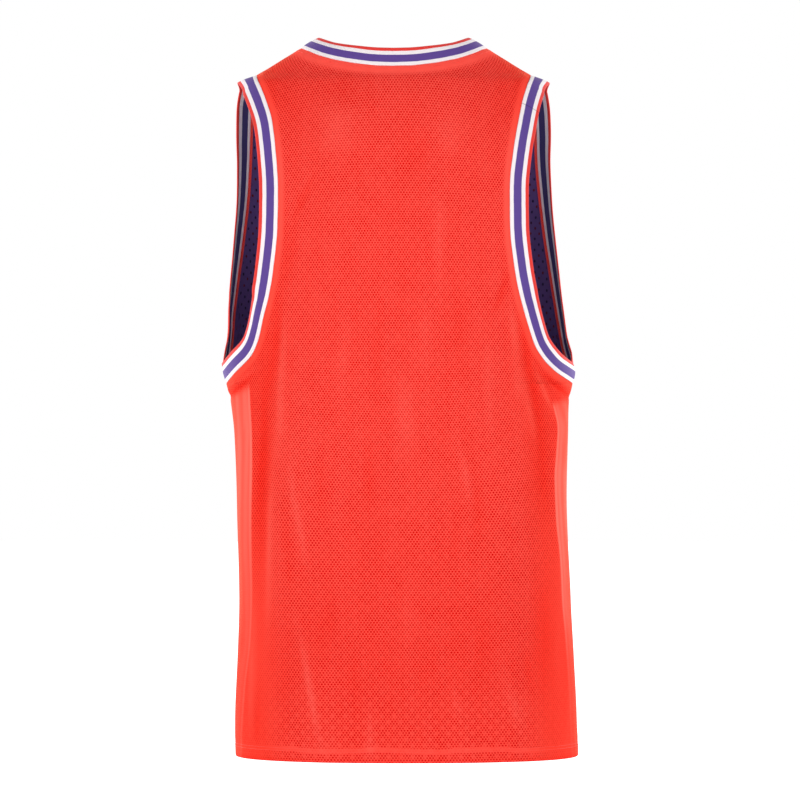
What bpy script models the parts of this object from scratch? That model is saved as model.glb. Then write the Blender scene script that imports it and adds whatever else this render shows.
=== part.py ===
"""Reversible sleeveless mesh jersey, filled out as if worn, with nobody inside.

Lengths are in metres, +Z is up, the wearer faces -Y and their left is +X. The origin lies between the
shoulders, where the wearer holds the jersey up. Every piece is cut from one worn form: level sections
from the hem to the neck, each a rounded oblong with its own breadth and depth. The pieces are two red
outer panels, two purple reverse panels inside them, a neck band and two armhole bands.
"""

import math

import bmesh
import bpy
import numpy as np

# ---- the worn form: one row for each level section ----
# height | centre, sideways | half breadth | depth behind | depth in front | squareness (2 is an ellipse)
FORM = np.array([
    (-0.7292, -0.0072, 0.1797, 0.124, 0.127, 2.40),
    (-0.6900, -0.0062, 0.1793, 0.124, 0.127, 2.40),
    (-0.6270, -0.0060, 0.1765, 0.122, 0.126, 2.40),
    (-0.5670, -0.0053, 0.1740, 0.119, 0.125, 2.40),
    (-0.4650, -0.0019, 0.1730, 0.116, 0.127, 2.45),
    (-0.3930, -0.0013, 0.1750, 0.117, 0.131, 2.50),
    (-0.3570, 0.0002, 0.1775, 0.118, 0.133, 2.50),
    (-0.3200, 0.0008, 0.1830, 0.119, 0.135, 2.50),
    (-0.2850, 0.0018, 0.1880, 0.120, 0.136, 2.50),
    (-0.2500, 0.0027, 0.1905, 0.121, 0.137, 2.50),
    (-0.1800, 0.0043, 0.1915, 0.122, 0.135, 2.50),
    (-0.1000, 0.0058, 0.1860, 0.113, 0.115, 2.40),
    (-0.0600, 0.0064, 0.1790, 0.102, 0.096, 2.25),
    (-0.0257, 0.0070, 0.1655, 0.085, 0.073, 2.10),
    (-0.0160, 0.0066, 0.1440, 0.076, 0.064, 2.05),
    (-0.0010, 0.0066, 0.1190, 0.067, 0.053, 2.00),
    (0.0120, 0.0066, 0.0980, 0.061, 0.046, 2.00),
    (0.0240, 0.0066, 0.0826, 0.056, 0.040, 2.00),
    (0.0360, 0.0066, 0.0680, 0.052, 0.035, 2.00),
])

# Where each panel is cut for the armholes: height | breadth of the back at the left | and at the right |
# breadth of the front at the left | and at the right, all from the centre. The first and last rows lie on
# the side seams and on the shoulder seams. The worn cloth hangs unevenly, so the two armholes differ.
ARMHOLE = np.array([
    (-0.3400, 0.1798, 0.1798, 0.1798, 0.1798),
    (-0.3270, 0.1678, 0.1604, 0.1797, 0.1792),
    (-0.3135, 0.1542, 0.1478, 0.1793, 0.1772),
    (-0.3020, 0.1473, 0.1410, 0.1786, 0.1755),
    (-0.2890, 0.1430, 0.1366, 0.1779, 0.1742),
    (-0.2690, 0.1379, 0.1310, 0.1765, 0.1716),
    (-0.2480, 0.1319, 0.1257, 0.1738, 0.1688),
    (-0.2240, 0.1273, 0.1215, 0.1703, 0.1657),
    (-0.1770, 0.1216, 0.1174, 0.1633, 0.1597),
    (-0.1370, 0.1204, 0.1181, 0.1580, 0.1556),
    (-0.0970, 0.1226, 0.1231, 0.1548, 0.1525),
    (-0.0680, 0.1260, 0.1288, 0.1530, 0.1517),
    (-0.0460, 0.1322, 0.1339, 0.1512, 0.1502),
    (-0.0160, 0.1440, 0.1440, 0.1440, 0.1440),
])

# The back's neckline: breadth from the centre | height
BACK_NECKLINE = np.array([
    (0.0000, -0.0110),
    (0.0180, -0.0104),
    (0.0475, -0.0065),
    (0.0708, -0.0008),
    (0.0870, 0.0060),
    (0.0980, 0.0120),
])
FRONT_NECK_HEIGHT = -0.092
FRONT_NECK_ROUNDNESS = 2.2

# Soft folds that hang in the worn cloth, taken round from the middle of the back towards the wearer's
# left: angle at the top | angle at the bottom | top | bottom | half width | height, less than 0 for a
# trough. The first two are the flares of the stiffer cloth under the arms.
FOLDS = np.array([
    (90, 90, -0.280, -0.362, 20.0, 0.0034),
    (-90, -90, -0.280, -0.362, 20.0, 0.0034),
    (50, 57, -0.300, -0.660, 6.0, 0.0026),
    (60, 64, -0.330, -0.600, 5.5, -0.0030),
    (73, 73, -0.350, -0.640, 6.0, 0.0018),
    (-49, -59, -0.290, -0.500, 6.0, 0.0022),
    (-56, -65, -0.310, -0.560, 6.0, -0.0030),
    (-68, -73, -0.350, -0.660, 6.0, 0.0024),
    (16, 14, -0.360, -0.560, 6.0, -0.0016),
    (-33, -36, -0.360, -0.520, 6.0, -0.0014),
    (45, 32, -0.590, -0.800, 6.0, 0.0016),
    (-30, -50, -0.640, -0.800, 7.0, -0.0014),
    (124, 118, -0.310, -0.640, 7.0, 0.0024),
    (113, 110, -0.340, -0.600, 6.0, -0.0028),
    (-122, -116, -0.300, -0.620, 7.0, 0.0026),
    (-110, -107, -0.340, -0.580, 6.0, -0.0026),
    (162, 158, -0.300, -0.620, 9.0, 0.0018),
    (-160, -164, -0.280, -0.560, 9.0, 0.0016),
    (146, 150, -0.400, -0.740, 8.0, -0.0016),
    (-146, -140, -0.420, -0.760, 8.0, -0.0016),
])

# ---- walls, seams and bands ----
OUTER_WALL = 0.0010
HEM_WALL = 0.0020            # the hem is turned up, so it is two layers thick
HEM_TURN_UP = 0.015
HEM_ROWS = 2                 # rows of points in the turned-up hem
REVERSE_WALL = 0.0010
REVERSE_DEPTH = 0.0027       # from the outer layer's face in to the reverse layer's
REVERSE_HANG = 0.0030        # how much further in it hangs, free, below the shoulders
REVERSE_HANG_TOP = -0.200
REVERSE_HANG_FULL = -0.310
REVERSE_HEM_RISE = 0.006     # it is cut this much shorter at the hem
SEAM_ALLOWANCE = 0.003       # and reaches this far under the bands
SEAM_GAP = 0.0004
BAND_WIDTH = 0.0222
BAND_WALL = 0.0018

# How sharply each band curls in under the form: height | curl behind, for each metre | and in front
LEFT_CURL = np.array([
    (-0.3350, 0.0, 0.0),
    (-0.3040, 2.0, 10.0),
    (-0.2900, 6.0, 12.5),
    (-0.2700, 10.0, 12.5),
    (-0.2540, 8.0, 12.5),
    (-0.2400, 0.0, 12.0),
    (-0.1600, 0.0, 10.5),
    (-0.0900, 0.0, 5.0),
    (-0.0200, 0.0, 0.0),
])
RIGHT_CURL = np.array([
    (-0.3350, 0.0, 0.0),
    (-0.3180, 9.0, 6.0),
    (-0.3040, 3.5, 10.0),
    (-0.2700, 4.5, 12.5),
    (-0.2540, 3.0, 12.5),
    (-0.2400, 0.0, 12.0),
    (-0.1600, 0.0, 10.5),
    (-0.0900, 0.0, 5.0),
    (-0.0200, 0.0, 0.0),
])
NECK_CURL = np.array([
    (-0.0900, 0.0, 0.0),
    (-0.0300, 0.0, 2.0),
    (0.0070, 0.0, 6.0),
    (0.0200, 6.0, 6.0),
    (0.0360, 6.0, 6.0),
])
CURL_TURN = 3                # how soon the curl is full, going round from the side to the front

# ---- how finely the cloth is divided: steps and, over 1, how they crowd towards one end ----
OUTER_COLUMNS = 32
REVERSE_COLUMNS = 16
REVERSE_COARSENESS = 2       # the reverse layer has a row for every two of the outer one
NECKLINE_SHARE = 0.75        # share of the columns that end on the neckline, not on a shoulder seam
TORSO_STEPS = 12
TORSO_CROWDING = 1.3
UNDERARM_STEPS = 8
UNDERARM_CROWDING = 1.5
YOKE_STEPS = 12
YOKE_BOTTOM = -0.180
BACK_NECK_CROWDING = 1.4
FRONT_NECK_CROWDING = 1.9
YOKE_CROWDING = 2.0
YOKE_EASE = 1.5              # how late the yoke's rows start to bend
BAND_LINES = 3               # lines of points across a band
WALK_STEPS = 5               # steps from one of them to the next
SMALL_STEP = 1e-5            # for slopes, in radians and in metres
WELD = 1e-6
SHARP = math.radians(50)

BACK, FRONT = 1, -1
HEM, UNDERARM, SHOULDER_END = FORM[0, 0], ARMHOLE[0, 0], ARMHOLE[-1, 0]
NECK_BREADTH, NECK_POINT = BACK_NECKLINE[-1]


def smooth(knots, values, at):
    """Read a table on a curve through its rows that never swings past them."""
    step = np.diff(knots)
    slope = np.diff(values) / step
    product = slope[:-1] * slope[1:]
    total = np.where(product > 0, slope[:-1] + slope[1:], 1)
    turning = np.where(product > 0, 2 * product / total, 0)
    tangent = np.concatenate([slope[:1], turning, slope[-1:]])
    at = np.clip(at, knots[0], knots[-1])
    row = np.clip(np.searchsorted(knots, at) - 1, 0, len(step) - 1)
    t = (at - knots[row]) / step[row]
    return (
        values[row] * (1 + 2 * t) * (1 - t) ** 2
        + values[row + 1] * t * t * (3 - 2 * t)
        + step[row] * t * (1 - t) * (tangent[row] * (1 - t) - tangent[row + 1] * t)
    )


def section(height):
    """Centre, half breadth, depth behind, depth in front and squareness of the form at a height."""
    return [smooth(FORM[:, 0], FORM[:, column], height) for column in range(1, FORM.shape[1])]


def fold_height(angle, height):
    """How far the folds lift the cloth from the plain form."""
    lift = 0
    for angle_top, angle_bottom, top, bottom, half_width, rise in FOLDS:
        along = np.clip((top - height) / (top - bottom), 0, 1)
        middle = np.radians(angle_top + (angle_bottom - angle_top) * along)
        across = ((angle - middle + math.pi) % (2 * math.pi) - math.pi) / math.radians(half_width)
        lift = lift + rise * np.exp(-across * across) * np.sin(math.pi * along) ** 2
    return lift


def form_point(angle, height):
    """The point of the form at an angle from the middle of the back and at a height."""
    centre, half_breadth, behind, in_front, squareness = section(height)
    depth = np.where(np.cos(angle) > 0, behind, in_front)
    sideways = np.abs(np.sin(angle) / half_breadth) ** squareness
    fore_and_aft = np.abs(np.cos(angle) / depth) ** squareness
    radius = (sideways + fore_and_aft) ** (-1 / squareness) + fold_height(angle, height)
    return np.stack([centre + radius * np.sin(angle), radius * np.cos(angle), height], axis=-1)


def angle_of(breadth, height, side):
    """The angle at which the form has this breadth from its centre, on the back or the front."""
    _, half_breadth, behind, in_front, squareness = section(height)
    share = np.clip(np.abs(breadth) / half_breadth, 0, 1)
    depth = (behind if side == BACK else in_front) * (1 - share ** squareness) ** (1 / squareness)
    return np.arctan2(breadth, side * depth)


def form_slopes(angle, height):
    """How the form's point moves with the angle and with the height."""
    by_angle = form_point(angle + SMALL_STEP, height) - form_point(angle - SMALL_STEP, height)
    by_height = form_point(angle, height + SMALL_STEP) - form_point(angle, height - SMALL_STEP)
    return by_angle / (2 * SMALL_STEP), by_height / (2 * SMALL_STEP)


def form_normal(angle, height):
    by_angle, by_height = form_slopes(angle, height)
    outward = np.cross(by_height, by_angle)
    return outward / np.linalg.norm(outward, axis=-1, keepdims=True)


def walk(angle, height, direction, distance):
    """Go a short way over the form from each point, as nearly as it allows in a direction."""
    by_angle, by_height = form_slopes(angle, height)
    aa = (by_angle * by_angle).sum(-1)
    ah = (by_angle * by_height).sum(-1)
    hh = (by_height * by_height).sum(-1)
    a = (by_angle * direction).sum(-1) * distance
    h = (by_height * direction).sum(-1) * distance
    spread = aa * hh - ah * ah
    return angle + (hh * a - ah * h) / spread, height + (aa * h - ah * a) / spread


def armhole_breadth(across, height, side, allowance):
    """Breadth of the panel beside each armhole: the left one for what lies over 0 across, else the right."""
    left, right = (smooth(ARMHOLE[:, 0], ARMHOLE[:, column], height)
                   for column in ((1, 2) if side == BACK else (3, 4)))
    return np.where(across < 0, right, left) + allowance


def neckline_height(breadth, side):
    if side == BACK:
        return smooth(BACK_NECKLINE[:, 0], BACK_NECKLINE[:, 1], breadth)
    share = np.clip(breadth / NECK_BREADTH, 0, 1)
    scoop = (1 - share ** FRONT_NECK_ROUNDNESS) ** (1 / FRONT_NECK_ROUNDNESS)
    return NECK_POINT - (NECK_POINT - FRONT_NECK_HEIGHT) * scoop


def top_edge(across, side, allowance):
    """Breadth and height of a panel's top edge: the neckline in the middle, a shoulder seam each way."""
    share = np.abs(across)
    crowding = BACK_NECK_CROWDING if side == BACK else FRONT_NECK_CROWDING
    turn = math.pi / 2 * (1 - np.clip(1 - share / NECKLINE_SHARE, 0, 1) ** crowding)
    breadth = NECK_BREADTH * np.sin(turn) ** (1 if side == BACK else 2 / FRONT_NECK_ROUNDNESS)
    height = neckline_height(breadth, side) + allowance
    along_seam = np.clip((share - NECKLINE_SHARE) / (1 - NECKLINE_SHARE), 0, 1)
    seam_height = NECK_POINT + (SHOULDER_END - NECK_POINT) * along_seam
    on_seam = share > NECKLINE_SHARE - SMALL_STEP
    height = np.where(on_seam, seam_height, height)
    breadth = np.where(on_seam, section(seam_height)[1], breadth)
    return np.sign(across) * breadth, height


def panel_angles(side, columns, coarse, hem, allowance):
    """Angle and height of a panel's points, row by row from the hem to the neckline.

    Torso rows run level from one side seam to the other. Underarm rows run level between the armholes.
    Yoke rows bend, little by little, into the line of the shoulder seams and the neckline. An allowance
    carries the cloth on past the armholes and the neckline.
    """
    across = np.linspace(-1, 1, columns + 1)
    rows = [(hem, math.pi / 2)]
    for drop in np.linspace(1, 0, TORSO_STEPS // coarse + 1) ** TORSO_CROWDING:
        rows.append((UNDERARM + (hem + HEM_TURN_UP - UNDERARM) * drop, math.pi / 2))
    breadths = [section(level)[1] * np.sin(across * spread) for level, spread in rows]
    heights = [np.full(columns + 1, level) for level, _ in rows]

    climb = np.linspace(0, 1, UNDERARM_STEPS // coarse + 1)[1:] ** UNDERARM_CROWDING
    for level in UNDERARM + (YOKE_BOTTOM - UNDERARM) * climb:
        half_breadth = section(level)[1]
        spread = np.arcsin(np.minimum(armhole_breadth(across, level, side, allowance) / half_breadth, 1))
        breadths.append(half_breadth * np.sin(across * spread))
        heights.append(np.full(columns + 1, level))

    spacing = np.sin(across * spread) / np.sin(spread)
    top_breadth, top_height = top_edge(across, side, allowance)
    end_breadth = armhole_breadth(across, SHOULDER_END, side, 0)
    steps = math.ceil(YOKE_STEPS / coarse)
    for step in range(1, steps + 1):
        share = 1 - (1 - step / steps) ** YOKE_CROWDING
        bend = share ** YOKE_EASE
        level = YOKE_BOTTOM + (SHOULDER_END - YOKE_BOTTOM) * share
        edge = armhole_breadth(across, level, side, allowance * (1 - bend))
        breadths.append(edge * spacing + bend * (top_breadth - end_breadth * spacing))
        heights.append(level + bend * (top_height - SHOULDER_END))

    breadths, heights = np.array(breadths), np.array(heights)
    return angle_of(breadths, heights, side), heights


def panel_walls(side, angles, heights, depth, walls):
    """Outer and inner points of a panel under the form, kept apart from its fellow at their seams."""
    faces = []
    for below in (depth, depth + walls):
        points = form_point(angles, heights) - below * form_normal(angles, heights)
        points[..., 1] = side * np.maximum(side * points[..., 1], SEAM_GAP / 2)
        faces.append(points)
    return faces


def armhole_loop(turn, back, front):
    """Angles and heights round an armhole: up the back's edge from the underarm and down the front's."""
    start = 1 + TORSO_STEPS
    column = -1 if turn > 0 else 0
    up = [grid[start:, column] for grid in back]
    down = [grid[start:, column][::-1] for grid in front]
    return [np.concatenate([one, other[1:-1]]) for one, other in zip(up, down)]


def neck_loop(back, front):
    """Angles and heights round the neckline: along the back's top edge, then along the front's."""
    edge = round(OUTER_COLUMNS * (1 - NECKLINE_SHARE) / 2)
    behind = [grid[-1, edge:OUTER_COLUMNS + 1 - edge] for grid in back]
    ahead = [grid[-1, edge:OUTER_COLUMNS + 1 - edge][::-1] for grid in front]
    return [np.concatenate([one, other[1:-1]]) for one, other in zip(behind, ahead)]


def curled_in(curl, angle, height, distance):
    """How far a band has curled in under the form at a distance from its seam."""
    behind, ahead = (smooth(curl[:, 0], curl[:, column], height) for column in (1, 2))
    in_front = np.clip(-CURL_TURN * np.cos(angle), 0, 1)
    return (behind + (ahead - behind) * in_front) * distance ** 2


def band_walls(angle, height, inward, curl):
    """Outer and inner points of a band: lines from the seam over the form to the free edge, square to it."""
    seam = form_point(angle, height)
    along = np.roll(seam, -1, axis=0) - np.roll(seam, 1, axis=0)
    away = np.cross(form_normal(angle, height), along) * inward
    away /= np.linalg.norm(away, axis=-1, keepdims=True)
    outer, inner = [], []
    angle, height = walk(angle, height, away, SEAM_GAP)
    stride = (BAND_WIDTH - SEAM_GAP) / (BAND_LINES - 1) / WALK_STEPS
    for line in range(BAND_LINES):
        curled = curled_in(curl, angle, height, stride * WALK_STEPS * line)
        outer.append(form_point(angle, height) - curled[:, None] * form_normal(angle, height))
        inner.append(outer[-1] - BAND_WALL * form_normal(angle, height))
        for _ in range(WALK_STEPS):
            angle, height = walk(angle, height, away, stride)
    return [np.array([np.concatenate([line, line[:1]]) for line in face]) for face in (outer, inner)]


def linear(red, green, blue):
    """A colour as seen on screen, each part from 0 to 255, in the linear values that a material takes."""
    return [((part / 255 + 0.055) / 1.055) ** 2.4 for part in (red, green, blue)] + [1]


def material(name, colour, roughness):
    made = bpy.data.materials.new(name)
    made.use_nodes = True
    shader = made.node_tree.nodes["Principled BSDF"]
    shader.inputs["Base Color"].default_value = colour
    shader.inputs["Roughness"].default_value = roughness
    shader.inputs["Metallic"].default_value = 0
    made.diffuse_color = colour
    return made


def cloth(name, outer, inner, finish):
    """A piece of cloth: a grid laid on its outer points, and extruded to its inner ones."""
    rows, columns = outer.shape[:2]
    grid = bmesh.new()
    bmesh.ops.create_grid(grid, x_segments=columns - 1, y_segments=rows - 1, size=0.5)
    place = grid.verts.layers.int.new("place")
    for index, (vertex, point) in enumerate(zip(grid.verts, outer.reshape(-1, 3))):
        vertex[place] = index
        vertex.co = point
    bmesh.ops.remove_doubles(grid, verts=grid.verts, dist=WELD)
    made = bmesh.ops.extrude_face_region(grid, geom=grid.faces[:])["geom"]
    for vertex in (item for item in made if isinstance(item, bmesh.types.BMVert)):
        vertex.co = inner.reshape(-1, 3)[vertex[place]]
    bmesh.ops.recalc_face_normals(grid, faces=grid.faces)
    mesh = bpy.data.meshes.new(name)
    grid.to_mesh(mesh)
    grid.free()
    mesh.attributes.remove(mesh.attributes["place"])
    mesh.materials.append(finish)
    mesh.shade_smooth()
    mesh.set_sharp_from_angle(angle=SHARP)
    bpy.context.scene.collection.objects.link(bpy.data.objects.new(name, mesh))


def build():
    for old in list(bpy.data.objects):
        bpy.data.objects.remove(old)
    red_mesh = material("red mesh", linear(255, 75, 65), 0.62)
    purple_mesh = material("purple mesh", linear(80, 62, 128), 0.66)
    striped_rib = material("striped rib", linear(250, 244, 244), 0.7)

    back = panel_angles(BACK, OUTER_COLUMNS, 1, HEM, 0)
    front = panel_angles(FRONT, OUTER_COLUMNS, 1, HEM, 0)
    for name, side, plan in (("outer_back", BACK, back), ("outer_front", FRONT, front)):
        walls = np.full((len(plan[0]), 1, 1), OUTER_WALL)
        walls[:HEM_ROWS] = HEM_WALL
        cloth(name, *panel_walls(side, *plan, 0, walls), red_mesh)

    for name, side in (("inner_back", BACK), ("inner_front", FRONT)):
        hem = HEM + REVERSE_HEM_RISE
        angles, heights = panel_angles(side, REVERSE_COLUMNS, REVERSE_COARSENESS, hem, SEAM_ALLOWANCE)
        slack = np.clip((REVERSE_HANG_TOP - heights) / (REVERSE_HANG_TOP - REVERSE_HANG_FULL), 0, 1)
        depth = REVERSE_DEPTH + REVERSE_HANG * slack[..., None]
        cloth(name, *panel_walls(side, angles, heights, depth, REVERSE_WALL), purple_mesh)

    for name, turn, curl in (("armhole_band_left", 1, LEFT_CURL), ("armhole_band_right", -1, RIGHT_CURL)):
        loop = armhole_loop(turn, back, front)
        cloth(name, *band_walls(*loop, turn, curl), striped_rib)
    loop = neck_loop(back, front)
    cloth("neck_band", *band_walls(*loop, -1, NECK_CURL), striped_rib)


build()
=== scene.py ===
"""A reversible sleeveless mesh jersey, hollow and filled out as if worn, dressed round its worn frame.

Lengths are in metres, +Z is up, the wearer faces -Y and their left is +X. The jersey is put together as a
maker would: the red outer layer, the purple reverse layer inside it, the striped rib bands round the
armholes and the neck, then the bindings and the sewing.
"""

import math

import bmesh
import bpy
import numpy as np
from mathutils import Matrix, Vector
from mathutils.kdtree import KDTree


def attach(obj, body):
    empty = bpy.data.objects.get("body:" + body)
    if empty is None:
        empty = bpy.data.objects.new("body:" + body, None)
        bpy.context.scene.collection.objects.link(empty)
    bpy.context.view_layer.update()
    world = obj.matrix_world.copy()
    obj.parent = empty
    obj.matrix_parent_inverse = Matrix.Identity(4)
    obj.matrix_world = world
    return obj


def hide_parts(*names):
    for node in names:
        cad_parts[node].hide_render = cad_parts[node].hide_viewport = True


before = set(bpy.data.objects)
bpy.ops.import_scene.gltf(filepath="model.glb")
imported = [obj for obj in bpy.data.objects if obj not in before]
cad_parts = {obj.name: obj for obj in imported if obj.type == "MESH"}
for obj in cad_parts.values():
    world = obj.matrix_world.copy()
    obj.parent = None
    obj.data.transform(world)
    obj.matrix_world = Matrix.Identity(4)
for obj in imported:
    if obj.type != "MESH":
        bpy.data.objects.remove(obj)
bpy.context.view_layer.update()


# ======== The outer layer: back and front ========
# Two panels of coral red knitted mesh, with small round eyelets in staggered rows. They are joined by
# overlocked side and shoulder seams, and their hems are turned up once and stitched down from outside.

# The worn form, one row for each level section:
# height | centre, sideways | half breadth | depth behind | depth in front | squareness (2 is an ellipse)
FORM = np.array([
    (-0.7292, -0.0072, 0.1797, 0.124, 0.127, 2.4),
    (-0.69, -0.0062, 0.1793, 0.124, 0.127, 2.4),
    (-0.627, -0.006, 0.1765, 0.122, 0.126, 2.4),
    (-0.567, -0.0053, 0.174, 0.119, 0.125, 2.4),
    (-0.465, -0.0019, 0.173, 0.116, 0.127, 2.45),
    (-0.393, -0.0013, 0.175, 0.117, 0.131, 2.5),
    (-0.357, 0.0002, 0.1775, 0.118, 0.133, 2.5),
    (-0.32, 0.0008, 0.183, 0.119, 0.135, 2.5),
    (-0.285, 0.0018, 0.188, 0.12, 0.136, 2.5),
    (-0.25, 0.0027, 0.1905, 0.121, 0.137, 2.5),
    (-0.18, 0.0043, 0.1915, 0.122, 0.135, 2.5),
    (-0.1, 0.0058, 0.186, 0.113, 0.115, 2.4),
    (-0.06, 0.0064, 0.179, 0.102, 0.096, 2.25),
    (-0.0257, 0.007, 0.1655, 0.085, 0.073, 2.1),
    (-0.016, 0.0066, 0.144, 0.076, 0.064, 2.05),
    (-0.001, 0.0066, 0.119, 0.067, 0.053, 2),
    (0.012, 0.0066, 0.098, 0.061, 0.046, 2),
    (0.024, 0.0066, 0.0826, 0.056, 0.04, 2),
    (0.036, 0.0066, 0.068, 0.052, 0.035, 2),
])

# Where each panel is cut for the armholes: height | breadth of the back at the left | at the right |
# breadth of the front at the left | at the right
ARMHOLE = np.array([
    (-0.34, 0.1798, 0.1798, 0.1798, 0.1798),
    (-0.327, 0.1678, 0.1604, 0.1797, 0.1792),
    (-0.3135, 0.1542, 0.1478, 0.1793, 0.1772),
    (-0.302, 0.1473, 0.141, 0.1786, 0.1755),
    (-0.289, 0.143, 0.1366, 0.1779, 0.1742),
    (-0.269, 0.1379, 0.131, 0.1765, 0.1716),
    (-0.248, 0.1319, 0.1257, 0.1738, 0.1688),
    (-0.224, 0.1273, 0.1215, 0.1703, 0.1657),
    (-0.177, 0.1216, 0.1174, 0.1633, 0.1597),
    (-0.137, 0.1204, 0.1181, 0.158, 0.1556),
    (-0.097, 0.1226, 0.1231, 0.1548, 0.1525),
    (-0.068, 0.126, 0.1288, 0.153, 0.1517),
    (-0.046, 0.1322, 0.1339, 0.1512, 0.1502),
    (-0.016, 0.144, 0.144, 0.144, 0.144),
])

# The back's neckline: breadth from the centre | height
BACK_NECKLINE = np.array([
    (0, -0.011),
    (0.018, -0.0104),
    (0.0475, -0.0065),
    (0.0708, -0.0008),
    (0.087, 0.006),
    (0.098, 0.012),
])
FRONT_NECK_HEIGHT = -0.092
FRONT_NECK_ROUNDNESS = 2.2

# The large soft folds: angle at the top | angle at the bottom | top | bottom | half width | height,
# in degrees round from the middle of the back, and less than 0 high for a trough
FOLDS = np.array([
    (90, 90, -0.28, -0.362, 20, 0.0034),
    (-90, -90, -0.28, -0.362, 20, 0.0034),
    (50, 57, -0.3, -0.66, 6, 0.0026),
    (60, 64, -0.33, -0.6, 5.5, -0.003),
    (73, 73, -0.35, -0.64, 6, 0.0018),
    (-49, -59, -0.29, -0.5, 6, 0.0022),
    (-56, -65, -0.31, -0.56, 6, -0.003),
    (-68, -73, -0.35, -0.66, 6, 0.0024),
    (16, 14, -0.36, -0.56, 6, -0.0016),
    (-33, -36, -0.36, -0.52, 6, -0.0014),
    (45, 32, -0.59, -0.8, 6, 0.0016),
    (-30, -50, -0.64, -0.8, 7, -0.0014),
    (124, 118, -0.31, -0.64, 7, 0.0024),
    (113, 110, -0.34, -0.6, 6, -0.0028),
    (-122, -116, -0.3, -0.62, 7, 0.0026),
    (-110, -107, -0.34, -0.58, 6, -0.0026),
    (162, 158, -0.3, -0.62, 9, 0.0018),
    (-160, -164, -0.28, -0.56, 9, 0.0016),
    (146, 150, -0.4, -0.74, 8, -0.0016),
    (-146, -140, -0.42, -0.76, 8, -0.0016),
])

# The smaller creases of each side, in millimetres: breadth at the top | at the bottom | top | bottom |
# half width | height
BACK, FRONT = 1, -1
CREASES = {BACK: np.array([
    (79, 110, -116, -185, 4.3, -1.2),
    (102, 119, -157, -265, 7.2, -0.8),
    (118, 140, -239, -383, 5.1, -1.1),
    (137, 152, -290, -562, 5.4, -1.3),
    (114, 130, -239, -429, 3.6, 1.1),
    (129, 146, -362, -644, 3.6, 1.2),
    (119, 94, -403, -562, 3.7, 1),
    (122, 116, -429, -588, 5.1, -0.9),
    (115, 82, -562, -746, 3.7, 1.4),
    (124, 123, -572, -726, 8.2, -0.5),
    (77, 86, -547, -639, 9.2, -0.5),
    (36, 38, -665, -741, 3.6, 0.8),
    (155, 162, -521, -741, 4.6, 0.9),
    (153, 155, -639, -731, 3.1, -0.6),
    (-118, -95, -216, -283, 3.7, -1.4),
    (-115, -122, -239, -328, 4.1, 0.9),
    (-123, -146, -254, -398, 4.6, -1.4),
    (-138, -152, -306, -521, 4.8, -0.8),
    (-121, -124, -301, -369, 4.1, 0.7),
    (-92, -92, -265, -424, 4.1, 0.6),
    (-64, -62, -208, -357, 7.2, -0.7),
    (-46, -42, -116, -265, 5.1, 0.6),
    (20, 25, -229, -378, 6.2, -0.7),
    (-7, -2, -306, -434, 10.3, 0.7),
    (32, 32, -383, -480, 7.2, -0.7),
    (-59, -74, -393, -480, 4.1, 0.9),
    (-78, -77, -424, -521, 5.1, -0.7),
    (-57, -49, -460, -541, 6.2, -0.5),
    (-145, -140, -490, -706, 10.3, -0.7),
    (-103, -119, -634, -711, 6.2, 0.9),
    (-119, -131, -598, -670, 4.1, -0.7),
    (-47, -57, -639, -700, 4.1, 0.6),
    (-29, -21, -244, -347, 7.2, 0.4),
    (54, 63, -254, -388, 7.2, 0.4),
    (83, 80, -388, -521, 6.2, -0.5),
    (-7, 4, -521, -644, 9.2, 0.4),
    (57, 46, -603, -711, 7.2, -0.4),
    (-75, -82, -552, -654, 8.2, -0.5),
    # the wide rows about the shoulders and the neck hardly lift the cloth: they mostly paint shade and
    # highlight there
    (114, 118, 12, -96, 26.7, -0.8),
    (-114, -117, 12, -101, 20.5, -0.8),
    (53, 53, -6, -68, 30.8, -0.6),
    (57, 58, -31, -119, 16.4, 0.8),
    (-56, -55, -37, -126, 14.4, 0.6),
    (-21, -19, -68, -140, 15.4, -0.5),
    (146, 191, -325, -365, 4.2, -1.8),
    (139, 186, -315, -356, 5, 0.8),
    (114, 131, -316, -439, 4.5, 0.6),
    (-137, -190, -320, -365, 4.2, -1.8),
    (-133, -163, -308, -384, 2.6, 1.8),
    (-124, -141, -311, -421, 4, 1),
]) / 1000, FRONT: np.array([
    (148, 190, -326, -364, 4.5, -1.5),
    (-146, -190, -324, -365, 4.5, -1.5),
    (118, 124, -180, -270, 4.5, -1),
    (128, 147, -300, -560, 6.5, -2),
    (117, 131, -350, -600, 3.6, 1.1),
    (100, 82, -480, -640, 4, 1),
    (60, 95, -600, -745, 4, 1.3),
    (35, 30, -220, -380, 8, -0.6),
    (-120, -112, -170, -280, 5, -1),
    (-132, -148, -290, -520, 6.5, -2),
    (-117, -128, -330, -620, 3.6, 1),
    (-95, -80, -260, -340, 4, -0.9),
    (-28, -28, -260, -460, 10, 0.7),
    (-30, -52, -600, -725, 5, -0.8),
    (-105, -122, -560, -745, 9, -1.1),
    (-70, -58, -640, -745, 4, 0.9),
    (12, 20, -130, -240, 9, -0.6),
    (66, 60, -120, -260, 8, 0.6),
    (-64, -60, -100, -230, 8, 0.6),
    (82, 90, -400, -560, 7, -0.7),
]) / 1000}
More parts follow.
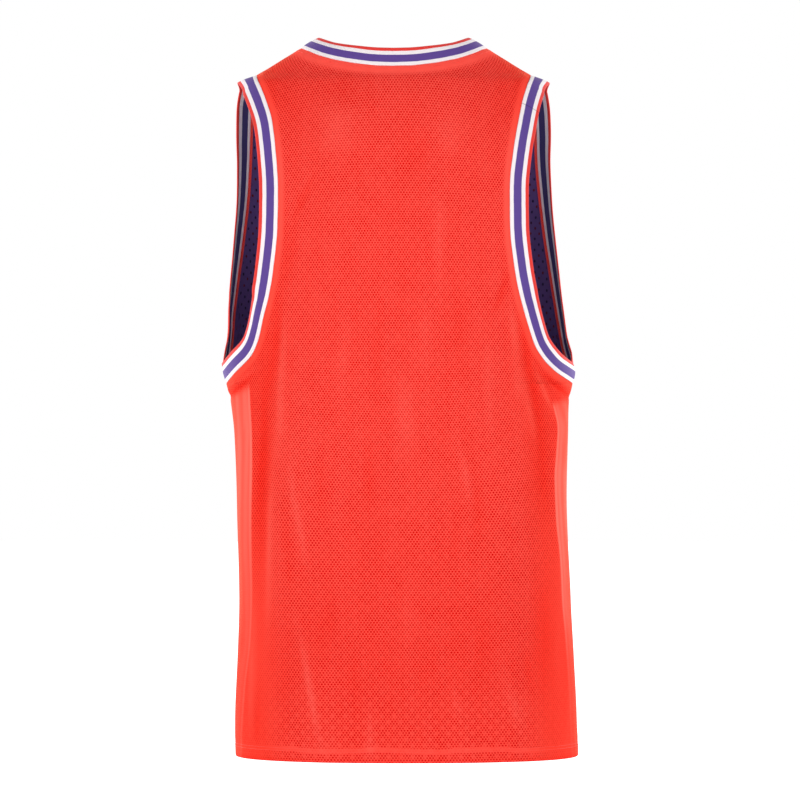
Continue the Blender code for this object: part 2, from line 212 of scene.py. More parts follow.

# The pale strip that turns round each side, a painted highlight over which the eyelets hardly show: height
# | breadth where it begins at the left | at the right | how pale it is at the left | at the right
SIDE_HIGHLIGHT_TABLE = np.array([
    (-0.723, 0.1715, 0.1715, 0.15, 0.1),
    (-0.654, 0.1664, 0.169, 0.25, 0.15),
    (-0.603, 0.1598, 0.165, 0.3, 0.35),
    (-0.562, 0.1578, 0.1612, 0.38, 0.7),
    (-0.521, 0.1571, 0.1602, 0.5, 0.85),
    (-0.48, 0.1562, 0.158, 0.65, 0.95),
    (-0.439, 0.1554, 0.1577, 0.85, 1),
    (-0.41, 0.1551, 0.1601, 0.95, 0.9),
    (-0.3843, 0.155, 0.1621, 0.92, 0.8),
    (-0.369, 0.155, 0.1596, 0.9, 0.7),
    (-0.345, 0.1549, 0.154, 0.7, 0.4),
])
STRIP_TOP = -0.351            # where it ends on the side seam, under the fold below the armhole
STRIP_TOP_RISE = (0.5, -0.3)  # how steeply that end rises, going in from the side seam
STRIP_TOP_FADE = 0.009        # and over what height it fades

HEM, UNDERARM, SHOULDER_END = FORM[0, 0], ARMHOLE[0, 0], ARMHOLE[-1, 0]
NECK_BREADTH, NECK_POINT = BACK_NECKLINE[-1]

OUTER_WALL = 0.0008
HEM_WALL = 0.0018
HEM_TURN_UP = 0.0145
OUTER_COLUMNS = 144
OUTER_ROWS = (96, 40, 56)            # in the torso, beside the lower armholes and in the yoke
SEAM_GAP = 0.00002
SMALL_STEP = 1e-5
WELD = 1e-6
SHARP_EDGE = math.radians(50)
FULL_CREASE = 0.0014          # a crease or a fold this high or deep changes the cloth's shade fully
FULL_FOLD = 0.0110


def smooth(table, column, at):
    """Read a column of a table on a curve through its rows that never swings past them."""
    knots, values = table[:, 0], table[:, column]
    step = np.diff(knots)
    slope = np.diff(values) / step
    product = slope[:-1] * slope[1:]
    total = np.where(product > 0, slope[:-1] + slope[1:], 1)
    turning = np.where(product > 0, 2 * product / total, 0)
    tangent = np.concatenate([slope[:1], turning, slope[-1:]])
    at = np.clip(at, knots[0], knots[-1])
    row = np.clip(np.searchsorted(knots, at) - 1, 0, len(step) - 1)
    t = (at - knots[row]) / step[row]
    return (
        values[row] * (1 + 2 * t) * (1 - t) ** 2
        + values[row + 1] * t * t * (3 - 2 * t)
        + step[row] * t * (1 - t) * (tangent[row] * (1 - t) - tangent[row + 1] * t)
    )


def section(height):
    """Centre, half breadth, depth behind, depth in front and squareness of the form at a height."""
    return [smooth(FORM, column, height) for column in range(1, FORM.shape[1])]


def ridges(table, height, away_from):
    """How far a table's ridges lift the cloth, given how to tell where it is from a ridge's middle."""
    lift = 0
    for at_top, at_bottom, top, bottom, half_width, rise in table:
        along = np.clip((top - height) / (top - bottom), 0, 1)
        across = away_from(at_top + (at_bottom - at_top) * along) / half_width
        lift = lift + rise * np.exp(-across * across) * np.sin(math.pi * along) ** 2
    return lift


def fold_height(angle, height):
    """How far the large folds lift the cloth from the plain form."""
    return ridges(FOLDS, height, lambda middle: (np.degrees(angle) - middle + 180) % 360 - 180)


def crease_height(angle, height, side):
    """How far the small creases lift a panel's cloth."""
    breadth = form_point(angle, height)[..., 0] - section(height)[0]
    return ridges(CREASES[side], height, lambda middle: breadth - middle)


def form_point(angle, height, folded=True):
    """The point of the form at an angle from the middle of the back and at a height."""
    centre, half_breadth, behind, in_front, squareness = section(height)
    depth = np.where(np.cos(angle) > 0, behind, in_front)
    sideways = np.abs(np.sin(angle) / half_breadth) ** squareness
    fore_and_aft = np.abs(np.cos(angle) / depth) ** squareness
    radius = (sideways + fore_and_aft) ** (-1 / squareness)
    if folded:
        radius = radius + fold_height(angle, height)
    return np.stack([centre + radius * np.sin(angle), radius * np.cos(angle), height], axis=-1)


def depth_at(breadth, height, side):
    """How far behind or in front of the side seams the plain form is, at a breadth from its centre."""
    _, half_breadth, behind, in_front, squareness = section(height)
    share = np.clip(np.abs(breadth) / half_breadth, 0, 1)
    return (behind if side == BACK else in_front) * (1 - share ** squareness) ** (1 / squareness)


def angle_of(breadth, height, side):
    return np.arctan2(breadth, side * depth_at(breadth, height, side))


def form_slopes(angle, height):
    """How the form's point moves with the angle and with the height."""
    by_angle = form_point(angle + SMALL_STEP, height) - form_point(angle - SMALL_STEP, height)
    by_height = form_point(angle, height + SMALL_STEP) - form_point(angle, height - SMALL_STEP)
    return by_angle / (2 * SMALL_STEP), by_height / (2 * SMALL_STEP)


def form_normal(angle, height):
    by_angle, by_height = form_slopes(angle, height)
    outward = np.cross(by_height, by_angle)
    return outward / np.linalg.norm(outward, axis=-1, keepdims=True)


def armhole_breadth(across, height, side):
    """Breadth of a panel beside an armhole: the left one for what lies over 0 across, else the right."""
    left, right = (smooth(ARMHOLE, column, height)
                   for column in ((1, 2) if side == BACK else (3, 4)))
    return np.where(across < 0, right, left)


def neckline_height(breadth, side):
    if side == BACK:
        return smooth(BACK_NECKLINE, 1, breadth)
    share = np.clip(breadth / NECK_BREADTH, 0, 1)
    scoop = (1 - share ** FRONT_NECK_ROUNDNESS) ** (1 / FRONT_NECK_ROUNDNESS)
    return NECK_POINT - (NECK_POINT - FRONT_NECK_HEIGHT) * scoop


NECKLINE_SHARE = 0.75         # share of the columns that end on the neckline, not on a shoulder seam
TORSO_CROWDING = 1.3          # over 1, rows or columns crowd towards one end
UNDERARM_CROWDING = 1.5
YOKE_BOTTOM = -0.180
BACK_NECK_CROWDING = 1.4
FRONT_NECK_CROWDING = 1.9
YOKE_CROWDING = 2.0
YOKE_EASE = 1.5               # how late the yoke's rows start to bend
HEM_ROUNDING = (0, 0.08, 0.3, 0.62, 1)    # rows round the hem's edge, as shares of half its wall
HEM_ROWS = 6


def top_edge(across, side):
    """Breadth and height of a panel's top edge: the neckline in the middle, a shoulder seam each way."""
    share = np.abs(across)
    crowding = BACK_NECK_CROWDING if side == BACK else FRONT_NECK_CROWDING
    turn = math.pi / 2 * (1 - np.clip(1 - share / NECKLINE_SHARE, 0, 1) ** crowding)
    breadth = NECK_BREADTH * np.sin(turn) ** (1 if side == BACK else 2 / FRONT_NECK_ROUNDNESS)
    along_seam = np.clip((share - NECKLINE_SHARE) / (1 - NECKLINE_SHARE), 0, 1)
    seam_height = NECK_POINT + (SHOULDER_END - NECK_POINT) * along_seam
    on_seam = share > NECKLINE_SHARE - SMALL_STEP
    height = np.where(on_seam, seam_height, neckline_height(breadth, side))
    breadth = np.where(on_seam, section(seam_height)[1], breadth)
    return np.sign(across) * breadth, height


def panel_plan(side, columns, rows, hem, wall):
    """Angle and height of a panel's points, row by row from the hem to the neckline.

    Hem rows lie close together round the folded edge. Torso rows run level between the side seams, and
    underarm rows between the armholes. Yoke rows bend, little by little, into the line of the shoulder
    seams and the neckline.
    """
    across = np.linspace(-1, 1, columns + 1)
    torso_steps, underarm_steps, yoke_steps = rows
    levels = [hem + share * wall / 2 for share in HEM_ROUNDING[:-1]]
    levels += list(np.linspace(hem + wall / 2, hem + HEM_TURN_UP, HEM_ROWS))
    drops = np.linspace(1, 0, torso_steps + 1)[1:] ** TORSO_CROWDING
    levels += list(UNDERARM + (levels[-1] - UNDERARM) * drops)
    breadths = [section(level)[1] * np.sin(across * math.pi / 2) for level in levels]
    heights = [np.full(columns + 1, level) for level in levels]

    climb = np.linspace(0, 1, underarm_steps + 1)[1:] ** UNDERARM_CROWDING
    for level in UNDERARM + (YOKE_BOTTOM - UNDERARM) * climb:
        half_breadth = section(level)[1]
        spread = np.arcsin(np.minimum(armhole_breadth(across, level, side) / half_breadth, 1))
        breadths.append(half_breadth * np.sin(across * spread))
        heights.append(np.full(columns + 1, level))

    spacing = np.sin(across * spread) / np.sin(spread)
    top_breadth, top_height = top_edge(across, side)
    end_breadth = armhole_breadth(across, SHOULDER_END, side)
    for step in range(1, yoke_steps + 1):
        share = 1 - (1 - step / yoke_steps) ** YOKE_CROWDING
        bend = share ** YOKE_EASE
        level = YOKE_BOTTOM + (SHOULDER_END - YOKE_BOTTOM) * share
        edge = armhole_breadth(across, level, side)
        breadths.append(edge * spacing + bend * (top_breadth - end_breadth * spacing))
        heights.append(level + bend * (top_height - SHOULDER_END))

    breadths, heights = np.array(breadths), np.array(heights)
    return angle_of(breadths, heights, side), heights


# How far the worn knit is stretched out of its flat cut, and how its courses hang: height | stretch up
# and down | stretch across, at the middle | and further at the sides | droop at the sides, in degrees
WEAR = np.array([
    (-0.7292, 0.975, 1.03, 0.06, 0),
    (-0.62, 0.98, 1.035, 0.08, 0),
    (-0.53, 0.99, 1.058, 0.085, -0.5),
    (-0.49, 0.99, 1.05, 0.085, -2),
    (-0.45, 0.99, 1.012, 0.085, -4),
    (-0.408, 0.99, 0.975, 0.08, -5.5),
    (-0.367, 0.995, 0.958, 0.06, -5),
    (-0.326, 1, 0.955, 0.02, -3.5),
    (-0.285, 1.003, 0.95, 0.01, 0),
    (-0.2, 1.016, 0.945, 0.01, 1.5),
    (-0.16, 1.03, 0.965, 0, 3.5),
    (-0.12, 1.05, 0.99, 0, 5),
    (-0.08, 1.11, 0.99, 0, 8),
    (-0.04, 1.23, 0.99, 0, 11),
    (0.012, 1.23, 0.99, 0, 11),
])
SIDE_BREADTH = 0.080          # from the centre to where the sides' stretch is reached
DROOP_BREADTH = 0.120         # and to where the courses' droop is
CUT_PLANES = np.linspace(0, 0.1915, 70)
CUT_LEVELS = np.linspace(HEM, NECK_POINT, 260)
ARC_POINTS = 40


def lengths(*steps):
    """Length so far along the last axis, from the steps along each direction."""
    run = np.sqrt(sum(np.square(step) for step in steps))
    return np.concatenate([np.zeros_like(run[..., :1]), np.cumsum(run, axis=-1)], axis=-1)


def middles(values):
    return (values[..., 1:] + values[..., :-1]) / 2


def between(table, row, column):
    """Read a table between its rows and columns."""
    r = np.clip(np.floor(row).astype(int), 0, table.shape[0] - 2)
    c = np.clip(np.floor(column).astype(int), 0, table.shape[1] - 2)
    t, s = row - r, column - c
    low = table[r, c] * (1 - s) + table[r, c + 1] * s
    high = table[r + 1, c] * (1 - s) + table[r + 1, c + 1] * s
    return low * (1 - t) + high * t


def stretch_across(breadth, height):
    middle, further = (smooth(WEAR, column, height) for column in (2, 3))
    return middle + further * np.clip(breadth / SIDE_BREADTH, 0, 1)


def lay_flat(angle, height, side):
    """Where the form's points lie on a panel's flat cut: across from its middle, and up from the origin.

    Wales run up the worn panel in planes fore and aft, and courses cross them where the same length of
    cloth has been used. Both lengths are then taken back out of their stretch.
    """
    levels, planes = np.meshgrid(CUT_LEVELS, CUT_PLANES)
    depth = depth_at(planes, levels, side)
    eased = smooth(WEAR, 1, middles(levels))
    up = HEM + lengths(np.diff(levels, axis=1) / eased, np.diff(depth, axis=1) / eased)
    breadth = np.abs(form_point(angle, height, folded=False)[..., 0] - section(height)[0])
    used = between(up, breadth / CUT_PLANES[1], (height - HEM) / (CUT_LEVELS[1] - CUT_LEVELS[0]))
    in_middle = between(up, 0 * height, (height - HEM) / (CUT_LEVELS[1] - HEM))
    used = np.where(height < UNDERARM, in_middle, used)

    turns = np.linspace(0, 1, ARC_POINTS)
    middle = 0 if side == BACK else math.pi * np.sign(angle)
    arc_angle = middle + (angle - middle) * turns[:, None, None]
    arc = form_point(arc_angle, np.broadcast_to(height, arc_angle.shape), folded=False)
    steps = np.linalg.norm(np.diff(arc, axis=0), axis=-1)
    from_centre = np.abs(arc[..., 0] - section(height)[0])
    eased = stretch_across((from_centre[1:] + from_centre[:-1]) / 2, height)
    across = (steps / eased).sum(0)

    droop = np.tan(np.radians(smooth(WEAR, 4, height)))
    reach = np.clip(breadth / DROOP_BREADTH, 0, 1.2)
    return np.sign(angle) * across, used + droop * DROOP_BREADTH * reach ** 2 / 2


def added(name, data):
    """A new object in the scene."""
    made = bpy.data.objects.new(name, data)
    bpy.context.scene.collection.objects.link(made)
    return made


def added_shape(name, shape, finish):
    mesh = bpy.data.meshes.new(name)
    shape.to_mesh(mesh)
    shape.free()
    mesh.materials.append(finish)
    return added(name, mesh)


def finished_piece(name, shape, finish):
    """The object of a shape, closed where its points meet, which moves with the jersey's only body."""
    bmesh.ops.remove_doubles(shape, verts=shape.verts, dist=WELD)
    bmesh.ops.recalc_face_normals(shape, faces=shape.faces)
    piece = added_shape(name, shape, finish)
    piece.data.shade_smooth()
    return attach(piece, "root")


def cloth(name, outer, inner, flat, finish, marks):
    """A piece of cloth: a grid laid on its outer points, and extruded to its inner ones.

    It carries its flat cut as a UV map, in metres, which of its faces lies inside, and the marks given.
    """
    rows, columns = outer.shape[:2]
    grid = bmesh.new()
    bmesh.ops.create_grid(grid, x_segments=columns - 1, y_segments=rows - 1, size=0.5)
    place = grid.verts.layers.int.new("place")
    for mark in ("inside", *marks):
        grid.verts.layers.float.new(mark)
    inside = grid.verts.layers.float["inside"]
    layers = [(grid.verts.layers.float[mark], values.reshape(-1)) for mark, values in marks.items()]
    cut = grid.loops.layers.uv.new("cut")
    for index, (vertex, point) in enumerate(zip(grid.verts, outer.reshape(-1, 3))):
        vertex[place] = index
        vertex.co = point
        for layer, values in layers:
            vertex[layer] = values[index]
    flat = flat.reshape(-1, 2)
    for face in grid.faces:
        for corner in face.loops:
            corner[cut].uv = flat[corner.vert[place]]
    made = bmesh.ops.extrude_face_region(grid, geom=grid.faces[:])["geom"]
    inner = inner.reshape(-1, 3)
    for vertex in (item for item in made if isinstance(item, bmesh.types.BMVert)):
        vertex.co = inner[vertex[place]]
        vertex[inside] = 1
    piece = finished_piece(name, grid, finish)
    piece.data.attributes.remove(piece.data.attributes["place"])
    piece.data.set_sharp_from_angle(angle=SHARP_EDGE)
    return piece


def rounding(from_edge, half_wall):
    """How far a rounded edge draws the cloth's face in, at a distance from that edge."""
    t = np.clip(1 - from_edge / half_wall, 0, 1)
    return half_wall * (1 - np.sqrt(1 - t * t))


def cut_area(flat):
    """The area of a flat cut, from its grid of points."""
    a = flat[1:, 1:] - flat[:-1, :-1]
    b = flat[1:, :-1] - flat[:-1, 1:]
    return float(np.abs(a[..., 0] * b[..., 1] - a[..., 1] * b[..., 0]).sum() / 2)


# ---- materials of knitted cloth ----

def linear(red, green, blue):
    """A colour as seen on screen, each part from 0 to 255, in the linear values that a material takes."""
    return [((part / 255 + 0.055) / 1.055) ** 2.4 for part in (red, green, blue)] + [1]


class Value:
    """A number or a colour that nodes work out. Numbers add up and multiply as plain ones do."""

    def __init__(self, socket):
        self.socket = socket

    def __add__(self, other):
        return calc("ADD", self, other)

    def __sub__(self, other):
        return calc("SUBTRACT", self, other)

    def __rsub__(self, other):
        return calc("SUBTRACT", other, self)

    def __mul__(self, other):
        return calc("MULTIPLY", self, other)

    def __truediv__(self, other):
        return calc("DIVIDE", self, other)

    def __abs__(self):
        return calc("ABSOLUTE", self)


def feed(node, inputs):
    """Give a node its inputs: plain values, or ones that other nodes work out."""
    for name, value in inputs.items():
        if isinstance(value, Value):
            node.id_data.links.new(value.socket, node.inputs[name])
        else:
            node.inputs[name].default_value = value


def source(tree, kind, output, **settings):
    """What a new node with these settings gives."""
    node = tree.nodes.new(kind)
    for name, setting in settings.items():
        setattr(node, name, setting)
    return Value(node.outputs[output])


def worked_out(kind, inputs, output=0, **settings):
    """What a new node works out from its inputs, one of which is a value already."""
    tree = next(value.socket.id_data for value in inputs.values() if isinstance(value, Value))
    made = source(tree, kind, output, **settings)
    feed(made.socket.node, inputs)
    return made


def calc(operation, *values):
    return worked_out("ShaderNodeMath", dict(enumerate(values)), operation=operation)


def ramped(value, start, end, low=0.0, high=1.0):
    """Soft step of a value from low at start to high at end."""
    inputs = {"Value": value, "From Min": start, "From Max": end, "To Min": low, "To Max": high}
    return worked_out("ShaderNodeMapRange", inputs, interpolation_type="SMOOTHSTEP")


def blended(share, first, second):
    """Colour between two others."""
    return worked_out("ShaderNodeMix", {0: share, 6: first, 7: second}, 2, data_type="RGBA")


def noise(across, up, size, detail=2.0):
    """Cloudy values from 0 to 1 over the flat cut, with clouds of about this size."""
    point = worked_out("ShaderNodeCombineXYZ", {"X": across, "Y": up})
    return worked_out("ShaderNodeTexNoise", {"Vector": point, "Scale": 1 / size, "Detail": detail}, "Fac")


def wave(value, length):
    """A wave from -1 to 1, once along each length."""
    return calc("SINE", value * (2 * math.pi / length))


def finish_of(name, colour, roughness, sheen, sheen_tint, gloss=0.08, nap=0.30):
    made = bpy.data.materials.new(name)
    made.use_nodes = True
    shader = made.node_tree.nodes["Principled BSDF"]
    feed(shader, {"Base Color": colour, "Roughness": roughness, "Specular IOR Level": gloss,
                  "Sheen Weight": sheen, "Sheen Roughness": nap, "Sheen Tint": sheen_tint})
    return made, made.node_tree, shader


def mark_value(tree, name):
    """One of the marks that the cloth carries."""
    return source(tree, "ShaderNodeAttribute", "Fac", attribute_name=name)


def cut_place(tree):
    """Across and up the flat cut, in metres, on either face of the cloth."""
    point = source(tree, "ShaderNodeUVMap", "UV", uv_map="cut")
    return [worked_out("ShaderNodeSeparateXYZ", {"Vector": point}, axis) for axis in "XY"]


def eyelets(across, up, pitch, row_pitch, width, height, softness):
    """1 inside an eyelet and 0 on the cloth between, and each eyelet's own random value."""
    climb = up / row_pitch
    row = calc("FLOOR", climb)
    column = across / pitch + calc("FLOORED_MODULO", row, 2.0) * 0.5
    x = (calc("FRACT", column) - 0.5) * (2 * pitch / width)
    y = (calc("FRACT", climb) - 0.5) * (2 * row_pitch / height)
    cell = worked_out("ShaderNodeCombineXYZ", {"X": calc("FLOOR", column), "Y": row})
    chance = worked_out("ShaderNodeTexWhiteNoise", {"Vector": cell}, "Value", noise_dimensions="2D")
    return ramped(calc("SQRT", x * x + y * y), 1 + softness, 1 - softness), chance


def finished(made, shader, colour, relief, height, strength):
    """The finish with its colour, and with a relief up to this height raised on it."""
    bump = {"Height": relief, "Distance": height, "Strength": strength}
    feed(shader, {"Base Color": colour, "Normal": worked_out("ShaderNodeBump", bump, "Normal")})
    return made


# Eyelets: from one to the next | from row to row | width | height | how soft their edge is
EYELETS = 0.00305, 0.00240, 0.00212, 0.00212, 0.30
REVERSE_EYELETS = 0.0118, 0.00615, 0.0026, 0.0031, 0.16
SEEN_BEHIND = REVERSE_EYELETS[:2] + (0.0042, 0.0042, 0.35)     # the lighter spots where those lie behind
PLAIN_BESIDE_BAND = (0.0038, 0.0092)      # the eyelets are backed by the seam allowance up to here
ALLOWANCE_STEP = (0.0052, 0.0042)         # and the cloth steps down off it here
HEM_LINE = HEM + HEM_TURN_UP
HEM_STITCHING = HEM + 0.0130              # the middle of the hem's stitched strip, which has no eyelets
HEM_STRIP = (0.0019, 0.0036)
HEM_STRIP_WAVE, HEM_STRIP_SWAY = 0.105, 0.0009
HEM_STRIP_DRIFT = 0.0040
SIDE_EYELETS = (0.108, 0.150)             # the knit closes up between here, across the cut, and its sides
SIDE_CLOSING = (HEM + 0.31, HEM + 0.15)   # and more and more from the first height to the second
HEM_PAINTED_SHADE = (HEM + 0.33, HEM + 0.08)  # painted shade: the colour deepens from the first height to the second
HEM_LIGHT = (HEM + 0.110, HEM + 0.030)    # and the light behind comes through
STREAK, STREAK_PULL = 0.011, 0.10         # breadth of the colour's streaks, and how much they are drawn out
HIGHLIGHT_LINE_PITCH = 0.0085                              # from one pale line of a side's painted highlight to the next
STRIP_CREST = (0.0016, 0.0034)            # the palest line of the painted highlight runs along its edge, to here
WALE, COURSE = 0.00061, 0.00060
EYELET_SHADE = linear(208, 2, 1)
# painted shade and painted highlight: the cloth's red, deeper in the troughs and paler on the ridges
SHADED_TROUGH_RED = linear(250, 70, 58), linear(248, 57, 43)      # in the middle of a panel and at its sides
HIGHLIT_RIDGE_RED = linear(255, 95, 84), linear(255, 85, 70)
# the red of the painted highlight along each side
SIDE_HIGHLIGHT_RED = linear(255, 112, 98)


def red_mesh_finish():
    made, tree, shader = finish_of("red_mesh_cloth", linear(255, 80, 70), 0.6, 0.50, linear(255, 180, 145),
                                   gloss=0.0, nap=0.18)
    across, up = cut_place(tree)
    seam_distance, tone, strip_edge, strip = [
        mark_value(tree, mark) for mark in ("seam_distance", "tone", "strip_edge", "strip")
    ]
    opened, chance = eyelets(across, up, *EYELETS)

    drift = (noise(across, 0.0, 0.020) - 0.5) * HEM_STRIP_DRIFT
    hem_strip = wave(across, HEM_STRIP_WAVE) * HEM_STRIP_SWAY + drift + HEM_STITCHING
    off_hem_strip = ramped(abs(up - hem_strip), *HEM_STRIP, 0.25, 1.0)
    at_side = ramped(abs(across), *SIDE_EYELETS)
    closed = at_side * ramped(up, *SIDE_CLOSING, 0.10, 0.62)
    strip = strip * ramped(strip_edge, -0.0006, 0.0008)
    # painted highlight: the eyelets fade out over the ridges
    ridge_highlight_washout = calc("MAXIMUM", tone, 0.0) * 0.35
    open_knit = (1.0 - closed - ridge_highlight_washout) * ramped(strip, 0.0, 0.6, 1.0, 0.08)
    shown = ramped(seam_distance, *PLAIN_BESIDE_BAND) * off_hem_strip * open_knit

    # where an eyelet of the reverse layer lies behind, light comes through, most of all near the hem
    behind, _ = eyelets(across, up, *SEEN_BEHIND)
    unlit = 1.0 - behind * ramped(up, *HEM_LIGHT, 0.20, 0.50)
    uneven = ramped(noise(across, up, 0.020), 0.30, 0.70, 0.86, 1.0)
    depth = opened * shown * (unlit * uneven * (chance * 0.12 + 0.88))

    # painted highlight makes the knit paler over a ridge, and painted shade deeper in a trough and towards
    # the hem
    streaks = (noise(across, up * STREAK_PULL, STREAK) - 0.5) * 0.7
    pale = (streaks + tone - ramped(up, *HEM_PAINTED_SHADE, 0.0, 0.50)) * 0.5 + 0.5
    plain = blended(pale, blended(at_side, *SHADED_TROUGH_RED), blended(at_side, *HIGHLIT_RIDGE_RED))
    # painted highlight: pale lines run along each side's strip, the palest at its edge
    drawn = noise(across, up * 0.12, 0.012) * 5.0
    ply_and_highlight_lines = calc("COSINE", strip_edge * (2 * math.pi / HIGHLIGHT_LINE_PITCH) + drawn) * 0.24 + 0.58
    lit = strip * calc("MAXIMUM", ramped(strip_edge, *STRIP_CREST, 1.2, 0.0), ply_and_highlight_lines)
    colour = blended(depth, blended(lit, plain, SIDE_HIGHLIGHT_RED), EYELET_SHADE)

    # knit stitches, far finer than the eyelets, and the step down off the seam allowance
    knit = wave(across, WALE) * wave(up, COURSE) * 0.10
    relief = knit - opened * shown + ramped(seam_distance, *ALLOWANCE_STEP, 0.0, 0.8)
    return finished(made, shader, colour, relief, 0.0004, 0.55)


red_mesh = red_mesh_finish()


# ---- the panels ----

ARMHOLE_ROW = len(HEM_ROUNDING) - 1 + HEM_ROWS - 1 + OUTER_ROWS[0]     # where the armholes begin
NECK_COLUMN = round(OUTER_COLUMNS * (1 - NECKLINE_SHARE) / 2)          # and where the neckline does
LEFT_ARMHOLE, RIGHT_ARMHOLE = ((slice(ARMHOLE_ROW, None), column) for column in (-1, 0))
NECKLINE = (-1, slice(NECK_COLUMN, OUTER_COLUMNS + 1 - NECK_COLUMN))
SHOULDERS = (-1, slice(None, NECK_COLUMN + 1)), (-1, slice(None, -NECK_COLUMN - 2, -1))
EDGE_FINENESS = 4             # points measured from, for each point of the grid
SHOULDER_LENGTH = 0.055
SHOULDER_REACH = (0.45, 1.3)  # how a shoulder seam's distance counts for the eyelets, out and in
NECK_REACH = 0.55             # and the neck band's
PUCKER, PUCKER_WAVE, PUCKER_REACH = 0.00030, 0.026, 0.009      # the cloth ripples beside the bands
RIPPLE, RIPPLE_WAVE, RIPPLE_REACH = 0.0004, 0.031, 0.011       # and along the stitching of the hem
SEAM_DITCH, SEAM_DITCH_REACH = 0.0005, 0.0022                  # it dips into the bands' seams
HEM_GROOVE, HEM_GROOVE_REACH = 0.0003, 0.0030                  # and where the hem is stitched down
HEM_EDGE_SHADE, HEM_EDGE_REACH = 0.6, 0.0030                   # painted shade along the hem's edge: how much deeper it looks


def edge_points(plan, edge):
    """Points along a panel's edge, closer together than its grid, with their distance along it."""
    points = form_point(*(values[edge] for values in plan))
    at = np.arange(len(points))
    fine = np.linspace(0, len(points) - 1, EDGE_FINENESS * (len(points) - 1) + 1)
    points = np.stack([np.interp(fine, at, points[:, axis]) for axis in range(3)], axis=-1)
    return points, lengths(*np.diff(points, axis=0).T)


def nearest(plan, edges, points):
    """How far the nearest of a panel's edges lies from each point, how far along it, and which it is."""
    seams = [edge_points(plan, edge) for edge in edges]
    line, along = (np.concatenate(parts) for parts in zip(*seams))
    which = np.concatenate([np.full(len(seam[1]), place) for place, seam in enumerate(seams)])
    tree = KDTree(len(line))
    for index, point in enumerate(line):
        tree.insert(point, index)
    tree.balance()
    index, distance = np.array([tree.find(point)[1:] for point in points.reshape(-1, 3)]).T
    index = index.astype(int)
    return [values.reshape(points.shape[:-1]) for values in (distance, along[index], which[index])]


def seam_reach(plan, measured):
    """For each measured point, how far the nearest band lies, and how far along that band's seam.

    The third value is the distance that counts for the eyelets: the allowance beside the neck band is wide,
    and so is the one at a shoulder seam's outer end.
    """
    points = form_point(*measured)
    away, along, which = nearest(plan, (RIGHT_ARMHOLE, LEFT_ARMHOLE, NECKLINE), points)
    from_shoulder, along_shoulder, _ = nearest(plan, SHOULDERS, points)
    reach = np.interp(along_shoulder, (0, SHOULDER_LENGTH), SHOULDER_REACH)
    return away, along, np.minimum(np.where(which == 2, NECK_REACH * away, away), from_shoulder * reach)


def hem_lift(angle, height):
    """The ripples and the shallow groove that the hem's stitching pulls into it."""
    round_hem = angle * section(height)[1]
    drift = np.sin(round_hem / 0.047 + 2) + 0.7 * np.sin(round_hem / 0.0213)
    ripple = RIPPLE * np.sin(2 * math.pi * round_hem / RIPPLE_WAVE + drift)
    from_line = height - HEM_LINE
    return (ripple * np.exp(-np.square(from_line / RIPPLE_REACH))
            - HEM_GROOVE * np.exp(-np.square(from_line / HEM_GROOVE_REACH)))


def outer_lift(plan, side, away, along):
    """The small relief of an outer panel: its creases, and its puckers along the bands and the hem."""
    drift = np.sin(along / 0.041) + 0.6 * np.sin(along / 0.0173 + 1)
    pucker = PUCKER * np.sin(2 * math.pi * along / PUCKER_WAVE + drift) * np.exp(-away / PUCKER_REACH)
    ditch = SEAM_DITCH * np.exp(-np.square(away / SEAM_DITCH_REACH))
    return crease_height(*plan, side) + pucker - ditch + hem_lift(*plan)


def painted_outer_shading(plan, side):
    """Painted highlight on the cloth's ridges, up to 1, and painted shade in its troughs, down to -1."""
    creases = crease_height(*plan, side) / FULL_CREASE + fold_height(*plan) / FULL_FOLD
    hem_edge_shade = HEM_EDGE_SHADE * np.exp(-np.square((plan[1] - HEM) / HEM_EDGE_REACH))
    return np.clip(creases - hem_edge_shade, -1, 1)


def painted_side_highlight(plan):
    """How far past the edge of a side's painted highlight the cloth is, and how pale that highlight is
    there.
    """
    angle, height = plan
    centre, half_breadth = section(height)[:2]
    breadth = form_point(angle, height, folded=False)[..., 0] - centre
    begin, pale = (
        np.where(breadth > 0, *(smooth(SIDE_HIGHLIGHT_TABLE, column, height) for column in pair))
        for pair in ((1, 2), (3, 4))
    )
    top = STRIP_TOP + np.where(breadth > 0, *STRIP_TOP_RISE) * (half_breadth - np.abs(breadth))
    return np.abs(breadth) - begin, pale * np.clip((top - height) / STRIP_TOP_FADE, 0, 1)


def panel(name, node, side, plan, depth, wall, hem_wall, finish, marks):
    """A panel whose outer face lies at a depth under the form, and which is thicker at its hem."""
    points, outward = form_point(*plan), form_normal(*plan)
    above_hem = plan[1] - plan[1][0, 0]
    walls = np.where(above_hem > HEM_TURN_UP + SMALL_STEP, wall, hem_wall)
    tucked = rounding(above_hem, hem_wall / 2)
    faces = []
    for below in (depth + tucked, depth + walls - tucked):
        face = points - below[..., None] * outward
        face[..., 1] = side * np.maximum(side * face[..., 1], SEAM_GAP / 2)
        faces.append(face)
    flat = np.stack(lay_flat(*plan, side), axis=-1)
    piece = cloth(name, *faces, flat, finish, marks)
    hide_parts(node)
    return piece, flat


outer_plans, outer_panels = {}, {}
for name, node, side in (("outer_back_cloth", "outer_back", BACK),
                         ("outer_front_cloth", "outer_front", FRONT)):
    plan = outer_plans[side] = panel_plan(side, OUTER_COLUMNS, OUTER_ROWS, HEM, HEM_WALL)
    away, along, counted = seam_reach(plan, plan)
    past_edge, pale = painted_side_highlight(plan)
    marks = {"seam_distance": counted, "tone": painted_outer_shading(plan, side), "strip_edge": past_edge,
             "strip": pale}
    outer_panels[side] = panel(name, node, side, plan, -outer_lift(plan, side, away, along), OUTER_WALL,
                               HEM_WALL, red_mesh, marks)


# ======== The reverse layer: back and front ========
# Two panels of deep purple knitted mesh, with larger and longer eyelets. They are caught in the same seams
# as the outer layer, hang free of it below the shoulders, and are cut a little shorter at the hem.

